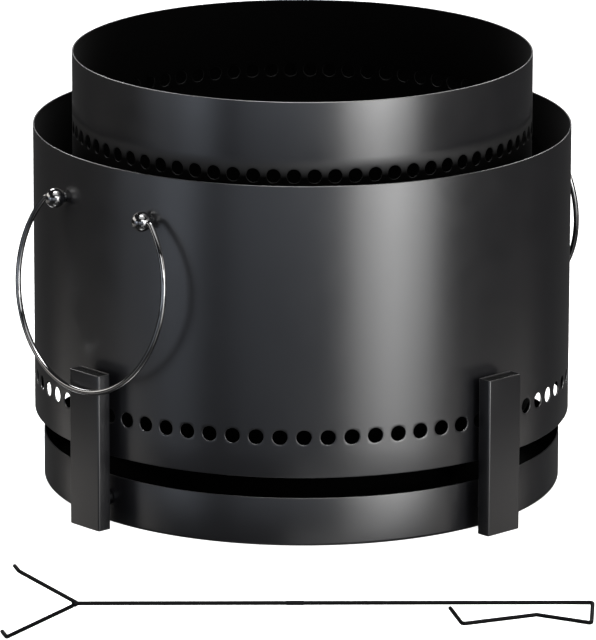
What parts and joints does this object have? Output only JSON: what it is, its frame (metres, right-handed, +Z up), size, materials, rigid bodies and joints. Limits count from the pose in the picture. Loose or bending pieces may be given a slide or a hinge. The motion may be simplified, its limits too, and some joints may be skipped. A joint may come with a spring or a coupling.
{
  "type": "smokeless fire pit",
  "caption": "Round smokeless fire pit: double-walled charcoal steel drum and shell over a base pan, on flat tube legs, with swinging ring handles, grate, ash pan and a loose forked poker.",
  "frame": {"origin": "on the pit's axis, at the floor, in the underside of the base pan", "axes": "+Z up; +X through leg 1, over which handle 1 hangs; +Y through leg 2, seen right-handed"},
  "size_m": [0.82, 0.7899, 0.407],
  "materials": {
    "shell_paint": "satin heat-proof powder coat, charcoal",
    "drum_paint": "satin heat-proof paint, charcoal",
    "handle_gloss": "gloss black enamel",
    "poker_paint": "semi-gloss black paint",
    "black_plug": "matt moulded, black",
    "fastener_steel": "black zinc plate",
    "grate_iron": "rough cast, sooted"
  },
  "bodies": {
    "root": {"outer_shell": "shell_paint", "base_pan": "shell_paint", "leg_1": "shell_paint", "leg_cap_1": "black_plug", "leg_foot_1": "black_plug", "drum_bracket_1": "fastener_steel", "shell_bolt_1": "fastener_steel", "shell_spacer_1": "fastener_steel", "shell_nut_1": "fastener_steel", "base_bolt_1": "fastener_steel", "base_spacer_1": "fastener_steel", "base_nut_1": "fastener_steel", "leg_2": "shell_paint", "leg_cap_2": "black_plug", "leg_foot_2": "black_plug", "drum_bracket_2": "fastener_steel", "shell_bolt_2": "fastener_steel", "shell_spacer_2": "fastener_steel", "shell_nut_2": "fastener_steel", "base_bolt_2": "fastener_steel", "base_spacer_2": "fastener_steel", "base_nut_2": "fastener_steel", "leg_3": "shell_paint", "leg_cap_3": "black_plug", "leg_foot_3": "black_plug", "drum_bracket_3": "fastener_steel", "shell_bolt_3": "fastener_steel", "shell_spacer_3": "fastener_steel", "shell_nut_3": "fastener_steel", "base_bolt_3": "fastener_steel", "base_spacer_3": "fastener_steel", "base_nut_3": "fastener_steel", "leg_4": "shell_paint", "leg_cap_4": "black_plug", "leg_foot_4": "black_plug", "drum_bracket_4": "fastener_steel", "shell_bolt_4": "fastener_steel", "shell_spacer_4": "fastener_steel", "shell_nut_4": "fastener_steel", "base_bolt_4": "fastener_steel", "base_spacer_4": "fastener_steel", "base_nut_4": "fastener_steel", "handle_ball_1a": "handle_gloss", "ball_screw_1a": "fastener_steel", "handle_ball_1b": "handle_gloss", "ball_screw_1b": "fastener_steel", "handle_ball_2a": "handle_gloss", "ball_screw_2a": "fastener_steel", "handle_ball_2b": "handle_gloss", "ball_screw_2b": "fastener_steel"},
    "drum": {"burn_drum": "drum_paint"},
    "grate": {"fuel_grate": "grate_iron"},
    "ash_pan": {"ash_pan": "drum_paint"},
    "handle_1": {"handle_ring_1": "handle_gloss"},
    "handle_2": {"handle_ring_2": "handle_gloss"},
    "poker": {"poker_rod": "poker_paint", "poker_coupling": "poker_paint", "poker_front_rod": "poker_paint", "poker_fork": "poker_paint"}
  },
  "joints": [
    {"name": "handle_1_swing", "type": "hinge", "parent": "root", "child": "handle_1", "pos_m": [0.2528, 0, 0.2971], "axis": [0, -1, 0], "range_deg": [-1, 180]},
    {"name": "handle_2_swing", "type": "hinge", "parent": "root", "child": "handle_2", "pos_m": [-0.2528, 0, 0.2971], "axis": [0, 1, 0], "range_deg": [-1, 180]},
    {"name": "drum_lift", "type": "slide", "parent": "root", "child": "drum", "axis": [0, 0, 1], "range_m": [0, 0.28]},
    {"name": "grate_lift", "type": "slide", "parent": "drum", "child": "grate", "axis": [0, 0, 1], "range_m": [0, 0.34]},
    {"name": "ash_pan_lift", "type": "slide", "parent": "root", "child": "ash_pan", "axis": [0, 0, 1], "range_m": [0, 0.018]},
    {"name": "poker_lift", "type": "slide", "parent": "root", "child": "poker", "axis": [0, 0, 1], "range_m": [0, 0.3]}
  ]
}
